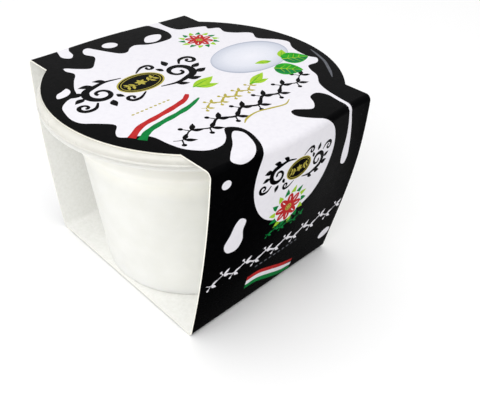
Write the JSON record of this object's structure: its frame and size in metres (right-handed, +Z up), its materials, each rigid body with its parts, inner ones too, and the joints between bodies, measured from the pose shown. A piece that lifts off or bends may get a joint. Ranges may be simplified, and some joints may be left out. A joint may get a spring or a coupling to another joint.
{
  "type": "burrata cheese pack",
  "caption": "Shut pack of burrata: a round tapered white plastic tub with a press-fit lid, wrapped in a black and white printed card sleeve whose top has round ears.",
  "frame": {"origin": "middle of the pack's base, on the surface it stands on", "axes": "+Z up through the lid; -Y out of the front printed panel; the sleeve's open ends face -X and +X"},
  "size_m": [0.1046, 0.1014, 0.0701],
  "materials": {
    "tub_plastic": "cloudy white moulded polypropylene, satin, slightly see-through, with the pale filling behind it",
    "lid_plastic": "white moulded polyethylene, soft gloss",
    "printed_card": "coated white carton, printed black with white splashes and small coloured shapes under gloss varnish; bare white card inside"
  },
  "bodies": {
    "root": {"tub": "tub_plastic", "lid": "lid_plastic", "sleeve": "printed_card"}
  },
  "joints": []
}
